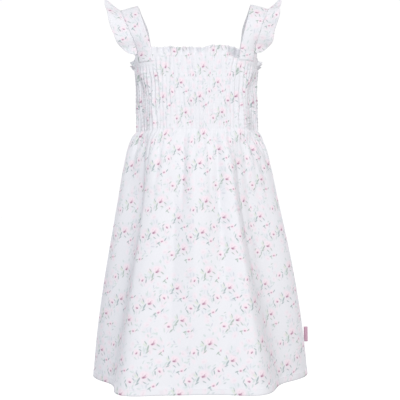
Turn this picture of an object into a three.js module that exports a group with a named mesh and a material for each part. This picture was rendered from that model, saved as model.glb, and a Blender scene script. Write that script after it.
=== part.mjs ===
// A toddler's sundress in the shape it takes when it is worn: a shirred bodice with a frilled top
// edge, a gathered skirt, and shoulder straps that each carry a flutter ruffle.
// Millimetres, +Z up. The front faces -Y. The origin is on the wearer's middle, level with the
// underside of the straps where they cross the shoulders.
import * as THREE from "three";

const { lerp, smoothstep, clamp } = THREE.MathUtils;
const QUARTER_TURN = Math.PI / 2;

// Driving sizes of the whole garment, as heights below the shoulders and half sizes of the body.
// The arm side starts where the sine of the angle round from the centre front reaches sideStart.
const height = { topRow: -80, sideDip: 13, sideStart: 0.88, waist: -180, hem: -528 };
const frill = {
  height: 12, lean: 0.1, sideLean: 0.55, wave: 1.7, columnsPerWave: 3,
  pressedFrom: 45, pressedTo: 71, pressedMargin: 6,
};
const bodice = {
  halfWidth: 84.2, waistHalfWidth: 86, topHalfWidth: 88,
  frontDepth: 63, backDepth: 60, waistExtraDepth: 3,
  topSquareness: 4, waistSquareness: 3,
};
const skirt = {
  puff: 8, puffHeight: 8, frontPuffHeight: 24, hemHalfWidth: 155.5, belly: 1,
  hemFrontDepth: 134, hemBackDepth: 131, hemSquareness: 2.1, squareUntil: 0.3, foldStart: 30,
};
const cloth = { wall: 1.8, frillWall: 1.3, hemDepth: 12, hemTurn: 0.9, seamGap: 0.3 };

// Gathers: one small pleat for every two columns of a panel, held down at each row of elastic.
const gathers = { columns: 84, tiers: 6, rise: 2.1, riseAtRow: 0.7, fade: 10 };
const waistFolds = { count: 16, rise: 3.2, fade: 60, start: 6, drift: 0.9, driftCount: 4 };
const skirtRows = [7, 20, 42, 80, 130, 190, 250, 302, 334, 348];

// The skirt's large folds. Angles are in degrees round from the centre front, positive towards +X.
// A rise is how far the cloth stands out from its plain ring, and a spread is half a fold's width.
const folds = [
  { name: "left trough", at: -57, hemAt: -64, waist: -5, middle: -12, hem: -23, spread: 9, hemSpread: 14 },
  { name: "left crest", at: -41, hemAt: -38, waist: 3, middle: 7, hem: 19, spread: 9, hemSpread: 13 },
  { name: "left side", at: -74, hemAt: -86, waist: 1, middle: 3, hem: 4, spread: 8, hemSpread: 10 },
  { name: "left groove", at: -19, hemAt: -15, waist: -3, middle: -4, hem: -2, spread: 5, hemSpread: 8 },
  { name: "centre", at: -2, hemAt: 0, waist: 2, middle: 2, hem: -8, spread: 8, hemSpread: 13 },
  { name: "right groove", at: 14, hemAt: 13, waist: -3, middle: -4, hem: 1, spread: 5, hemSpread: 8 },
  { name: "right crest", at: 25, hemAt: 27, waist: 3, middle: 7, hem: 15, spread: 8, hemSpread: 13 },
  { name: "right trough", at: 41, hemAt: 60, waist: -6, middle: -13, hem: -18, spread: 8, hemSpread: 15 },
  { name: "right side", at: 70, hemAt: 88, waist: 1, middle: 6, hem: 5, spread: 9, hemSpread: 10 },
  { name: "back right dip", at: 118, hemAt: 122, waist: -4, middle: -8, hem: -17, spread: 9, hemSpread: 14 },
  { name: "back right crest", at: 140, hemAt: 149, waist: 3, middle: 6, hem: 13, spread: 9, hemSpread: 14 },
  { name: "back centre", at: 177, hemAt: 180, waist: -3, middle: -5, hem: -6, spread: 7, hemSpread: 11 },
  { name: "back left crest", at: 216, hemAt: 208, waist: 3, middle: 7, hem: 16, spread: 9, hemSpread: 15 },
  { name: "back left dip", at: 240, hemAt: 237, waist: -5, middle: -8, hem: -20, spread: 8, hemSpread: 13 },
];

const strap = {
  innerSpring: 61.5, innerTop: 82, outerSpring: 82, outerTop: 108,
  spring: -66, end: -87, tailLean: 0.12, outerDrop: 6.5, thickness: 2, clearance: 2.8,
  archSteps: 18, tailSteps: 3, acrossSteps: 4, archBow: 0.92, outerFoot: 0.86, backBow: 3.2,
};
const ruffle = {
  width: 29, frontWidth: 23.5, backWidth: 20, endWidth: 3, endRound: 21, backTaper: 68, end: -72,
  wall: 1.3, waves: 5, wave: 2.6, steps: 56, acrossSteps: 3,
};

// The wearer's left strap leans in a little more than the right one, and its ruffle stands up more.
const sides = [
  { name: "left", sign: 1, leanIn: 3, forward: -0.55, backward: 0.6, lift: 0.85 },
  { name: "right", sign: -1, leanIn: -0.5, forward: 0.1, backward: 0.1, lift: 0.75 },
];

const tag = { height: 21.5, reach: 5, thickness: 1.2, middle: -474 };

const skirtLength = height.waist - height.hem;

// The plain ring of the body at a height: an oval that is squarer at the top of the chest.
function ovalAt(z, isBack) {
  const chestDepth = isBack ? bodice.backDepth : bodice.frontDepth;
  const hemDepth = isBack ? skirt.hemBackDepth : skirt.hemFrontDepth;
  const waistDepth = chestDepth + bodice.waistExtraDepth;
  if (z > height.waist) {
    const up = clamp((z - height.waist) / (height.topRow - height.waist), 0, 1);
    return {
      halfWidth: bodice.halfWidth + (bodice.waistHalfWidth - bodice.halfWidth) * (1 - up) ** 4
        + (bodice.topHalfWidth - bodice.halfWidth) * up ** 6,
      depth: lerp(waistDepth, chestDepth, up),
      squareness: lerp(bodice.waistSquareness, bodice.topSquareness, up),
    };
  }
  const drop = height.waist - z;
  const down = drop / skirtLength;
  const sidePuff = skirt.puff * (1 - Math.exp(-drop / skirt.puffHeight));
  const frontPuff = skirt.puff * (1 - Math.exp(-drop / skirt.frontPuffHeight));
  const belly = skirt.belly * Math.sin(Math.PI * down);
  return {
    halfWidth: lerp(bodice.waistHalfWidth, skirt.hemHalfWidth - skirt.puff, down) + sidePuff + belly,
    depth: lerp(waistDepth, hemDepth - skirt.puff, down) + frontPuff + belly,
    squareness: lerp(bodice.waistSquareness, skirt.hemSquareness, smoothstep(down, 0, skirt.squareUntil)),
  };
}

// How far a fold stands out at a height: its three rises joined by one curve, eased in at the waist.
function foldRise(fold, angle, z) {
  const drop = Math.max(height.waist - z, 0);
  const down = drop / skirtLength;
  const centre = lerp(fold.at, fold.hemAt, down);
  const spread = lerp(fold.spread, fold.hemSpread, down);
  const rise = fold.waist * (1 - down) * (1 - 2 * down)
    + 4 * fold.middle * down * (1 - down) + fold.hem * down * (2 * down - 1);
  const away = ((angle - centre + 540) % 360) - 180;
  return rise * Math.exp(-0.5 * (away / spread) ** 2) * smoothstep(drop, 0, skirt.foldStart);
}

// The distance from the middle line to the plain cloth. The angle is 0 at the centre front.
function ringRadius(angle, z) {
  const isBack = Math.cos(angle) < 0;
  const oval = ovalAt(z, isBack);
  const across = Math.abs(Math.sin(angle)) / oval.halfWidth;
  const through = Math.abs(Math.cos(angle)) / oval.depth;
  const plain = (across ** oval.squareness + through ** oval.squareness) ** (-1 / oval.squareness);
  const degrees = THREE.MathUtils.radToDeg(angle);
  return plain + folds.reduce((sum, fold) => sum + foldRise(fold, degrees, z), 0);
}

// The first row of elastic is level across the chest and dips under the arms.
function topRowHeight(angle) {
  const side = Math.abs(Math.sin(angle));
  return height.topRow - height.sideDip * smoothstep(side, height.sideStart, 1);
}

// The height of the cloth that lies a given distance down from the frill's edge.
function clothHeight(angle, down) {
  const top = topRowHeight(angle);
  const belowTop = down - frill.height;
  const shirred = height.topRow - height.waist;
  if (belowTop < 0) return top - belowTop;
  if (belowTop < shirred) return lerp(top, height.waist, belowTop / shirred);
  return height.waist - (belowTop - shirred);
}

function polar(angle, radius, z) {
  return new THREE.Vector3(radius * Math.sin(angle), -radius * Math.cos(angle), z);
}

// The angles that share a panel's ring into columns of equal length, as its yarns run.
function columnAngles(isBack, down) {
  const samples = 240;
  const start = isBack ? QUARTER_TURN : -QUARTER_TURN;
  const angles = Array.from({ length: samples + 1 }, (_, i) => start + (Math.PI * i) / samples);
  const points = angles.map((angle) => {
    const z = clothHeight(angle, down);
    return polar(angle, ringRadius(angle, z), z);
  });
  const lengths = [0];
  for (let i = 1; i <= samples; i++) lengths.push(lengths[i - 1] + points[i].distanceTo(points[i - 1]));
  const found = [];
  for (let column = 0, i = 0; column <= gathers.columns; column++) {
    const wanted = (lengths[samples] * column) / gathers.columns;
    while (i < samples - 1 && lengths[i + 1] < wanted) i++;
    const share = clamp((wanted - lengths[i]) / (lengths[i + 1] - lengths[i]), 0, 1);
    found.push(lerp(angles[i], angles[i + 1], share));
  }
  return found;
}

// 1 where a strap presses the frill flat, 0 clear of the straps.
function pressed(angle) {
  const fromMiddle = THREE.MathUtils.radToDeg(Math.asin(Math.abs(Math.sin(angle))));
  return smoothstep(fromMiddle, frill.pressedFrom - frill.pressedMargin, frill.pressedFrom)
    * (1 - smoothstep(fromMiddle, frill.pressedTo, frill.pressedTo + frill.pressedMargin));
}

// How far the small pleats and waves stand out from the plain cloth, at one column of a row.
function gatherRise(column, down, isOuter, angle) {
  const belowTop = down - frill.height;
  const belowWaist = belowTop - (height.topRow - height.waist);
  const isRidge = column % 2 === 1;
  if (belowTop < 0) {
    const wave = frill.wave * Math.cos((2 * Math.PI * column) / frill.columnsPerWave);
    return (wave * -belowTop * (1 - pressed(angle))) / frill.height;
  }
  if (belowWaist <= 0) {
    const tier = (belowTop / (height.topRow - height.waist)) * gathers.tiers;
    const between = Math.sin(Math.PI * (tier % 1)) ** 2;
    return isOuter && isRidge ? lerp(gathers.riseAtRow, gathers.rise, between) : 0;
  }
  const { count, rise, fade, start, drift, driftCount } = waistFolds;
  const small = isRidge ? gathers.riseAtRow * Math.exp(-belowWaist / gathers.fade) : 0;
  const swell = Math.exp(-belowWaist / fade) * (1 - Math.exp(-belowWaist / start));
  const turn = (2 * Math.PI * count * column) / gathers.columns;
  return small + rise * swell * Math.sin(turn + drift * Math.sin(turn / driftCount));
}

// One row of a panel's points. Inward is how far the inner face lies behind the outer one.
function panelRow(isBack, down, isOuter, inward) {
  return columnAngles(isBack, down).map((angle, column) => {
    const z = clothHeight(angle, down);
    const plain = ringRadius(angle, Math.min(z, topRowHeight(angle)));
    const lean = lerp(frill.lean, frill.sideLean, smoothstep(Math.abs(Math.sin(angle)), height.sideStart, 1));
    const flare = Math.max(frill.height - down, 0) * lean * (1 - pressed(angle));
    const radius = plain + flare + gatherRise(column, down, isOuter, angle) - inward;
    const point = polar(angle, radius, z - flare * lean);
    point.y += isBack ? cloth.seamGap / 2 : -cloth.seamGap / 2;
    return point;
  });
}

// A closed wall between an outer and an inner grid that have the same number of columns.
// Each grid holds its rows of points, and where each row lies down the wall.
function wallGeometry(outer, inner) {
  const points = [];
  const faces = [];
  const number = (grid) => grid.rows.map((row) => row.map((point) => points.push(point) - 1));
  const quad = (a, b, c, d) => faces.push([a, b, c], [a, c, d]);
  const out = number(outer);
  const inn = number(inner);
  const last = out[0].length - 1;
  const foot = (rows) => rows[rows.length - 1];
  for (let j = 0; j < last; j++) {
    for (let i = 0; i < out.length - 1; i++) quad(out[i][j], out[i + 1][j], out[i + 1][j + 1], out[i][j + 1]);
    for (let i = 0; i < inn.length - 1; i++) quad(inn[i][j], inn[i][j + 1], inn[i + 1][j + 1], inn[i + 1][j]);
    quad(out[0][j], out[0][j + 1], inn[0][j + 1], inn[0][j]);
    quad(foot(out)[j + 1], foot(out)[j], foot(inn)[j], foot(inn)[j + 1]);
  }
  for (const [j, isTurned] of [[0, false], [last, true]]) {
    let i = 0;
    let k = 0;
    while (i < out.length - 1 || k < inn.length - 1) {
      const stepsOuter = k === inn.length - 1 || (i < out.length - 1 && outer.at[i + 1] <= inner.at[k + 1]);
      const face = stepsOuter ? [out[i + 1][j], out[i][j], inn[k][j]] : [inn[k][j], inn[k + 1][j], out[i][j]];
      faces.push(isTurned ? face.reverse() : face);
      if (stepsOuter) i++;
      else k++;
    }
  }
  const volume = faces.reduce((sum, [a, b, c]) => sum + points[a].dot(points[b].clone().cross(points[c])), 0);
  if (volume < 0) faces.forEach((face) => face.reverse());
  const geometry = new THREE.BufferGeometry().setFromPoints(points);
  geometry.setIndex(faces.flat());
  geometry.computeVertexNormals();
  return geometry;
}

// A front or back panel: frill, shirred bodice and skirt in one piece from side seam to side seam.
function panelGeometry(isBack) {
  const shirred = height.topRow - height.waist;
  const waist = frill.height + shirred;
  const frillRows = [0, frill.height / 2, frill.height];
  const steps = gathers.tiers * 2;
  const tierRows = Array.from({ length: steps }, (_, i) => frill.height + (shirred * (i + 1)) / steps);
  const outerAt = [...frillRows, ...tierRows, ...skirtRows.map((drop) => waist + drop)];
  const innerAt = [...frillRows, waist - shirred / 2, waist, ...skirtRows.map((drop) => waist + drop)];
  const hemTop = waist + skirtLength - cloth.hemDepth;
  innerAt.splice(innerAt.length - 1, 0, hemTop);
  const inward = (down) => {
    if (down < frill.height) return cloth.frillWall;
    return cloth.wall + (down >= hemTop ? cloth.hemTurn : 0);
  };
  return wallGeometry(
    { at: outerAt, rows: outerAt.map((down) => panelRow(isBack, down, true, 0)) },
    { at: innerAt, rows: innerAt.map((down) => panelRow(isBack, down, false, inward(down))) },
  );
}

// The point of the cloth's ring that has a given x, held clear of the pleats.
function besideRing(x, z, isBack) {
  let low = 0;
  let high = QUARTER_TURN;
  const at = (fromMiddle) => {
    const angle = isBack ? Math.PI - fromMiddle : fromMiddle;
    return polar(angle, ringRadius(angle, z) + strap.clearance, z);
  };
  for (let i = 0; i < 40; i++) {
    const middle = (low + high) / 2;
    if (at(middle).x < x) low = middle;
    else high = middle;
  }
  return at(low);
}

// The underside of a strap. Along runs from its front end (0) over the shoulder to its back end (1),
// and across from its inner edge (0) to its outer edge (1). Its ends lie on the bodice, and the arch
// between them follows a rounded shoulder.
function strapPoint(side, along, across) {
  const springX = lerp(strap.innerSpring, strap.outerSpring, across);
  const topX = lerp(strap.innerTop, strap.outerTop, across) - side.leanIn;
  const isBack = along > 0.5;
  const fromEnd = isBack ? 1 - along : along;
  const tail = strap.tailSteps / (2 * strap.tailSteps + strap.archSteps);
  if (fromEnd < tail) {
    const z = lerp(strap.end, strap.spring, fromEnd / tail);
    return besideRing(springX + (z - strap.spring) * strap.tailLean, z, isBack);
  }
  const turn = (QUARTER_TURN * (fromEnd - tail)) / (0.5 - tail);
  const rise = Math.sin(turn) ** strap.archBow;
  const foot = besideRing(springX, strap.spring, isBack);
  const innerFoot = besideRing(strap.innerSpring, strap.spring, isBack);
  const flatter = innerFoot.y * lerp(1, strap.outerFoot, across);
  const bow = isBack ? strap.backBow * Math.exp(-(((rise - 0.68) / 0.22) ** 2)) : 0;
  return new THREE.Vector3(
    lerp(springX, topX, rise) - bow,
    lerp(foot.y, flatter, smoothstep(rise, 0, 0.3)) * Math.cos(turn),
    lerp(strap.spring, -strap.outerDrop * across, rise),
  );
}

// The directions at a point of the strap: along it, across it towards the arm, and off its upper side.
function strapDirections(side, along, across) {
  const reach = { along: 0.004, across: 0.05 };
  const between = (from, to) => to.sub(from).normalize();
  const tangent = between(
    strapPoint(side, Math.max(along - reach.along, 0), across),
    strapPoint(side, Math.min(along + reach.along, 1), across),
  );
  const width = between(
    strapPoint(side, along, Math.max(across - reach.across, 0)),
    strapPoint(side, along, Math.min(across + reach.across, 1)),
  );
  return { tangent, width, face: width.clone().cross(tangent).normalize() };
}

function mirrored(point, side) {
  return new THREE.Vector3(point.x * side.sign, point.y, point.z);
}

function strapGeometry(side) {
  const steps = 2 * strap.tailSteps + strap.archSteps;
  const at = Array.from({ length: steps + 1 }, (_, i) => i / steps);
  const row = (along, rise) => Array.from({ length: strap.acrossSteps + 1 }, (_, j) => {
    const across = j / strap.acrossSteps;
    const { face } = strapDirections(side, along, across);
    return mirrored(strapPoint(side, along, across).addScaledVector(face, rise), side);
  });
  return wallGeometry(
    { at, rows: at.map((along) => row(along, strap.thickness)) },
    { at, rows: at.map((along) => row(along, 0)) },
  );
}

// How wide a ruffle is: widest at the shoulder, rounded at its front end and tapered behind.
function ruffleReach(fromEnd, back) {
  const isBack = back > 0;
  const eased = Math.sqrt(1 - (1 - clamp(fromEnd / ruffle.endRound, 0, 1)) ** 2);
  const round = isBack ? smoothstep(fromEnd, -4, ruffle.backTaper) : eased;
  const full = isBack
    ? lerp(ruffle.width, ruffle.backWidth, smoothstep(back, 0, 0.7))
    : lerp(ruffle.width, ruffle.frontWidth, smoothstep(-back, 0.15, 0.6));
  return { round, reach: lerp(ruffle.endWidth, full, round) };
}

// A flutter ruffle: sewn along the strap's outer edge and waved at its free edge.
function ruffleGeometry(side) {
  const isAbove = (along) => strapPoint(side, along, 1).z > ruffle.end;
  const tries = 400;
  const shares = Array.from({ length: tries }, (_, i) => (i + 0.5) / tries).filter(isAbove);
  const [start, end] = [shares[0], shares[shares.length - 1]];
  const at = Array.from({ length: ruffle.steps + 1 }, (_, i) => lerp(start, end, i / ruffle.steps));
  const edge = at.map((along) => strapPoint(side, along, 1));
  const lengths = [0];
  for (let i = 1; i < edge.length; i++) lengths.push(lengths[i - 1] + edge[i].distanceTo(edge[i - 1]));
  const total = lengths[lengths.length - 1];
  const foot = besideRing(strap.outerSpring, strap.spring, false);
  const row = (along, i, rise) => {
    const { tangent, width, face } = strapDirections(side, along, 1);
    const fromEnd = Math.min(lengths[i], total - lengths[i]);
    const back = edge[i].y / Math.abs(foot.y);
    const { round, reach } = ruffleReach(fromEnd, back);
    const top = Math.cos(clamp(Math.abs(back), 0, 1) * QUARTER_TURN);
    const away = Math.sign(back) * side.forward * (1 - top) + side.backward * top;
    const out = new THREE.Vector3(1, away, side.lift * top).normalize();
    const over = out.clone().cross(tangent).normalize();
    const turn = 2 * Math.PI * ruffle.waves * (lengths[i] / total - 0.5);
    const wave = ruffle.wave * round * Math.cos(turn);
    const seam = cloth.seamGap + ruffle.wall / 2;
    const root = edge[i].clone().addScaledVector(width, seam).addScaledVector(face, strap.thickness / 2);
    return Array.from({ length: ruffle.acrossSteps + 1 }, (_, j) => {
      const share = j / ruffle.acrossSteps;
      const point = root.clone().addScaledVector(out, reach * share);
      return mirrored(point.addScaledVector(over, wave * share + rise), side);
    });
  };
  return wallGeometry(
    { at, rows: at.map((along, i) => row(along, i, ruffle.wall / 2)) },
    { at, rows: at.map((along, i) => row(along, i, -ruffle.wall / 2)) },
  );
}

// A plain loop of ribbon folded into the side seam above the hem.
function tagGeometry() {
  const half = tag.thickness / 2;
  const straight = tag.reach - half;
  const outline = new THREE.Shape();
  outline.moveTo(0, -half);
  outline.lineTo(straight, -half);
  outline.absarc(straight, 0, half, -QUARTER_TURN, QUARTER_TURN);
  outline.lineTo(0, half);
  outline.closePath();
  const extrusion = { depth: tag.height, bevelEnabled: false, curveSegments: 8 };
  const geometry = new THREE.ExtrudeGeometry(outline, extrusion);
  const foot = tag.middle - tag.height / 2;
  const seam = Math.max(ringRadius(QUARTER_TURN, foot), ringRadius(QUARTER_TURN, foot + tag.height));
  geometry.translate(seam + cloth.seamGap, 0, foot);
  return geometry;
}

function piece(name, geometry, colour, roughness = 0.85) {
  const material = new THREE.MeshStandardMaterial({ color: colour, roughness, metalness: 0 });
  const mesh = new THREE.Mesh(geometry, material);
  mesh.name = name;
  return mesh;
}

const colours = { print: 0xf3f1f6, tag: 0xd9a9bd };

const dress = new THREE.Group();
dress.add(piece("front_panel", panelGeometry(false), colours.print));
dress.add(piece("back_panel", panelGeometry(true), colours.print));
for (const side of sides) {
  dress.add(piece(`strap_${side.name}`, strapGeometry(side), colours.print));
  dress.add(piece(`ruffle_${side.name}`, ruffleGeometry(side), colours.print));
}
dress.add(piece("side_tag", tagGeometry(), colours.tag, 0.6));

export default dress;
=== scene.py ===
import math

import bmesh
import bpy
import numpy as np
from mathutils import Matrix, Vector


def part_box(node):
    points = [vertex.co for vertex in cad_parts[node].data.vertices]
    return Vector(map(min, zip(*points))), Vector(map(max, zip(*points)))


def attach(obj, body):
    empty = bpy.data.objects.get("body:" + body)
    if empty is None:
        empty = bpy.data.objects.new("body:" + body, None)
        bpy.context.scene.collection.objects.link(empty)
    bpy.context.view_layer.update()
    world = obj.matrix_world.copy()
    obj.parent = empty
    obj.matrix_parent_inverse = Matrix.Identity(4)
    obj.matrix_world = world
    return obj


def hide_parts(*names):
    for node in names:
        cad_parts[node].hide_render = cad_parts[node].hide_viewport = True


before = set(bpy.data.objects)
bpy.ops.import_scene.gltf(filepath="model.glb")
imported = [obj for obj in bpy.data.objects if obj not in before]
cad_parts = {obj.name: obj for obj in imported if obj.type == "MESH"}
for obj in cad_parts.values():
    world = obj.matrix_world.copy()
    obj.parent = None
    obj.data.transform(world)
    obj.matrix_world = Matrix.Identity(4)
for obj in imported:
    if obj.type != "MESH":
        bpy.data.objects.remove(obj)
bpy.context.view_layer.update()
print("frame loaded:", len(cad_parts), "nodes")

mm = 0.001  # sizes below are in millimetres, as a maker writes them


# small helpers for numbers and arrays
def smooth(value, low, high):
    share = np.clip((value - low) / (high - low), 0, 1)
    return share * share * (3 - 2 * share)


def between(first, last, share):
    return first + (last - first) * share


def lengthsAlong(points):
    # how far along a row of points each one is
    return np.concatenate([[0], np.cumsum(np.linalg.norm(np.diff(points, axis=0), axis=1))])


def degreesPast(angle, at):
    # how far round an angle lies past another one, between -180 and 180
    return (np.degrees(angle) - at + 540) % 360 - 180


def wander(x, y, seed):
    # soft random hills between -1 and 1, one for each unit of x and y
    x, y = np.broadcast_arrays(np.asarray(x, float), np.asarray(y, float))
    column, row = np.floor(x), np.floor(y)
    across, down = smooth(x - column, 0, 1), smooth(y - row, 0, 1)

    def corner(right, below):
        mixed = np.sin((column + right) * 127.1 + (row + below) * 311.7 + seed * 74.7) * 43758.5453
        return 2 * (mixed - np.floor(mixed)) - 1

    upper = between(corner(0, 0), corner(1, 0), across)
    lower = between(corner(0, 1), corner(1, 1), across)
    return between(upper, lower, down)


# the dress's body: the same ring, heights and large folds as the solids have
body = {
    "topRow": -80,
    "sideDip": 13,
    "sideStart": 0.88,
    "waist": -180,
    "hem": -528,
    "halfWidth": 84.2,
    "waistHalfWidth": 85,
    "topHalfWidth": 88,
    "frontDepth": 63,
    "backDepth": 60,
    "waistExtraDepth": 3,
    "topSquareness": 4,
    "waistSquareness": 3,
    "puff": 8,
    "puffHeight": 8,
    "frontPuffHeight": 30,
    "frontPuffStart": 1.6,
    "hemHalfWidth": 155.5,
    "belly": -2,
    "hemFrontDepth": 134,
    "hemBackDepth": 131,
    "hemSquareness": 2.1,
    "squareUntil": 0.3,
    "foldStart": 24,
    "chestFrom": 4,
    "chestFull": 46,
    "chestUntil": 36,
}
skirtLength = body["waist"] - body["hem"]
shirredLength = body["topRow"] - body["waist"]

# angle at the waist and the hem (from the centre front, + towards +X), how far the cloth stands
# out at the waist, halfway and at the hem, and half the fold's width at the waist and the hem
foldColumns = ("at", "hemAt", "waist", "middle", "hem", "spread", "hemSpread")
foldRows = {
    "leftTrough": (-58, -62, -11, -12, -16, 8, 12),
    "leftCrest": (-44, -40, 3, 7, 19, 9, 9),
    "leftSide": (-74, -80, 2, 11, 0, 7, 10),
    "leftGroove": (-19, -16, -2, -3.5, -2, 5, 8),
    "centre": (-2, 0, 2, 2, -8, 8, 13),
    "rightGroove": (18, 18, -4, -6, -2, 5, 8),
    "rightCrest": (28, 32, 3, 7, 15, 8, 9),
    "rightTrough": (44, 57, -8, -12, -18, 8, 12),
    "rightNarrow": (66, 76, -8, 0, 0, 5, 8),
    "rightSide": (70, 81, 2, 11, 0, 7, 10),
    "backRightDip": (118, 122, -4, -8, -17, 9, 14),
    "backRightCrest": (140, 149, 3, 6, 13, 9, 14),
    "backCentre": (177, 180, -3, -5, -6, 7, 11),
    "backLeftCrest": (216, 208, 3, 7, 16, 9, 15),
    "backLeftDip": (240, 237, -5, -8, -20, 8, 13),
}
folds = [dict(zip(foldColumns, row)) for row in foldRows.values()]

# the bodice's own soft folds, which run into the skirt: angle, rise and half width in degrees
chestFolds = [(-61, -8, 8), (-42, 1.6, 6), (66, -10, 8), (45, 1.4, 6), (121, -4.5, 7), (239, -5.5, 7)]


def ovalAt(z, back):
    chest = body["backDepth"] if back else body["frontDepth"]
    hemDepth = body["hemBackDepth"] if back else body["hemFrontDepth"]
    waistDepth = chest + body["waistExtraDepth"]
    up = np.clip((z - body["waist"]) / shirredLength, 0, 1)
    drop = np.maximum(body["waist"] - z, 0)
    down = drop / skirtLength
    belly = body["belly"] * np.sin(np.pi * down)
    sidePuff = body["puff"] * (1 - np.exp(-drop / body["puffHeight"])) + belly
    slowDrop = (drop / body["frontPuffHeight"]) ** body["frontPuffStart"]
    frontPuff = body["puff"] * (1 - np.exp(-slowDrop)) + belly
    waistGain = body["waistHalfWidth"] - body["halfWidth"]
    topGain = body["topHalfWidth"] - body["halfWidth"]
    halfWidth = body["halfWidth"] + waistGain * (1 - up) ** 4 + topGain * up**6
    halfWidth = halfWidth + (body["hemHalfWidth"] - body["puff"] - body["waistHalfWidth"]) * down + sidePuff
    depth = between(waistDepth, chest, up) + (hemDepth - body["puff"] - waistDepth) * down + frontPuff
    squareness = between(body["waistSquareness"], body["topSquareness"], up)
    skirtGain = body["hemSquareness"] - body["waistSquareness"]
    squareness = squareness + skirtGain * smooth(down, 0, body["squareUntil"])
    return halfWidth, depth, squareness


def foldRise(angle, z):
    # the large folds, which start just under the waist
    drop = np.maximum(body["waist"] - z, 0)
    down = drop / skirtLength
    total = 0
    for fold in folds:
        centre = between(fold["at"], fold["hemAt"], down)
        spread = between(fold["spread"], fold["hemSpread"], down)
        rise = fold["waist"] * (1 - down) * (1 - 2 * down)
        rise = rise + 4 * fold["middle"] * down * (1 - down) + fold["hem"] * down * (2 * down - 1)
        total = total + rise * np.exp(-0.5 * (degreesPast(angle, centre) / spread) ** 2)
    total = total * smooth(drop, 0, body["foldStart"])
    held = smooth(z, body["topRow"] - body["chestFrom"], body["topRow"] - body["chestFull"])
    held = held * (1 - smooth(drop, 0, body["chestUntil"]))
    for at, rise, spread in chestFolds:
        total = total + held * rise * np.exp(-0.5 * (degreesPast(angle, at) / spread) ** 2)
    return total


def ringRadius(angle, z, back):
    halfWidth, depth, squareness = ovalAt(z, back)
    across = np.abs(np.sin(angle)) / halfWidth
    through = np.abs(np.cos(angle)) / depth
    return (across**squareness + through**squareness) ** (-1 / squareness) + foldRise(angle, z)


def topRowHeight(angle):
    return body["topRow"] - body["sideDip"] * smooth(np.abs(np.sin(angle)), body["sideStart"], 1)


def polar(angle, radius, z):
    return np.stack(np.broadcast_arrays(radius * np.sin(angle), -radius * np.cos(angle), z), axis=-1)


# the cloth of a panel, cut as one length from the frill's edge to the hem
panel = {
    "columns": 214,
    "cutWidth": 485,
    "topCutWidth": 400,
    "flareFrom": 60,
    "flareBeyond": 160,
    "flareShare": 0.9,
    "frill": 12,
    "frillRows": 8,
    "elasticRows": 18,
    "rowsBetween": 5,
    "skirtRows": 100,
    "thickness": 0.55,
    "hemDepth": 9,
    "hemTurn": 0.45,
    "seamTuck": 0.9,
    "seamReach": 5,
    "turnedUp": 10,
}
gathers = {
    "count": 43,
    "rise": 2.3,
    "riseAtRow": 1.9,
    "shift": 1.7,
    "uneven": 0.75,
    "fade": 14,
    "front": 0.6,
    "side": 1.9,
    "sideDip": 0.4,
}
pleats = {"count": 17, "rise": 4.0, "start": 9, "fade": 48, "drift": 1.1, "uneven": 0.7, "round": 0.75}
pleatSink = 0.7  # share of a pleat that lies under the plain cloth
softFolds = {"rise": 0.8, "count": 13, "height": 150, "from": 20, "full": 90}
frillWave = {
    "count": 29,
    "rise": 2.7,
    "lean": 0.1,
    "sideLean": 0.55,
    "edge": 2,
    "edgeWaves": 19,
    "smallWaves": 43,
}
# where the frill is tucked back beside a strap: angles where that starts, is deepest and has ended
frillTuck = {"start": 34, "deepest": 44.5, "last": 47, "ended": 53, "depth": 21, "from": -5, "to": 1.5}

# creases of the skirt, listed one by one: angle where it starts and ends, how far under the waist that
# is, how far the cloth stands out (or in, if below 0) and half its width, the last four in mm
creaseColumns = ("at", "endAt", "start", "end", "rise", "halfWidth")
creaseRows = [
    (20, 19, 12, 235, -3.4, 4.5),
    (-21, -19, 55, 335, -2.4, 6),
    (-13, -14, 15, 125, -2.6, 5),
    (-2, -2, 40, 300, 1.8, 8),
    (-34, -36, 8, 80, -2.6, 4),
    (-47, -43, 20, 345, 2.4, 6),
    (-54, -51, 5, 210, -3.6, 5),
    (30, 33, 20, 345, 2.2, 6),
    (37, 44, 8, 260, -3.2, 5),
    (50, 66, 2, 75, -3.2, 4.5),
    (64, 74, 3, 60, -3, 4.5),
    (-66, -72, 4, 90, -3, 5),
    (5, 4, 8, 60, -2, 4),
    (196, 192, 15, 190, -3.2, 4.5),
    (168, 165, 10, 120, -2.8, 4.5),
    (152, 156, 8, 230, -2.6, 6),
    (210, 214, 12, 90, -2.6, 4),
    (224, 221, 10, 320, 2, 6),
    (232, 230, 6, 200, -3.5, 5),
    (138, 136, 14, 330, 2, 6),
    (128, 126, 6, 180, -3.2, 5),
    (184, 183, 60, 330, -2, 7),
    (176, 178, 30, 140, 1.6, 6),
    (246, 250, 4, 80, -3, 4),
    (112, 108, 4, 70, -3, 4),
]
creases = [dict(zip(creaseColumns, row)) for row in creaseRows]
# degrees from the middle that a strap covers, and the height of its foot in mm
strapOver = {"from": 45, "to": 71, "margin": 6, "foot": -90, "footRound": 12, "held": 0.95, "lift": 0.25}


def creaseRise(angle, radius, drop):
    total = 0
    for crease in creases:
        share = np.clip((drop - crease["start"]) / (crease["end"] - crease["start"]), 0, 1)
        away = degreesPast(angle, between(crease["at"], crease["endAt"], share))
        distance = np.radians(away) * radius / (crease["halfWidth"] * (0.8 + 0.7 * share))
        length = smooth(share, 0, 0.25) * (1 - smooth(share, 0.55, 1))
        total = total + crease["rise"] * length * np.exp(-np.abs(distance) ** 1.6)
    return total


def clothHeight(angle, down):
    top = topRowHeight(angle)
    below = down - panel["frill"]
    if below < 0:
        return top - below
    if below < shirredLength:
        return between(top, body["waist"], below / shirredLength)
    return body["waist"] - (below - shirredLength) + 0 * angle


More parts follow.
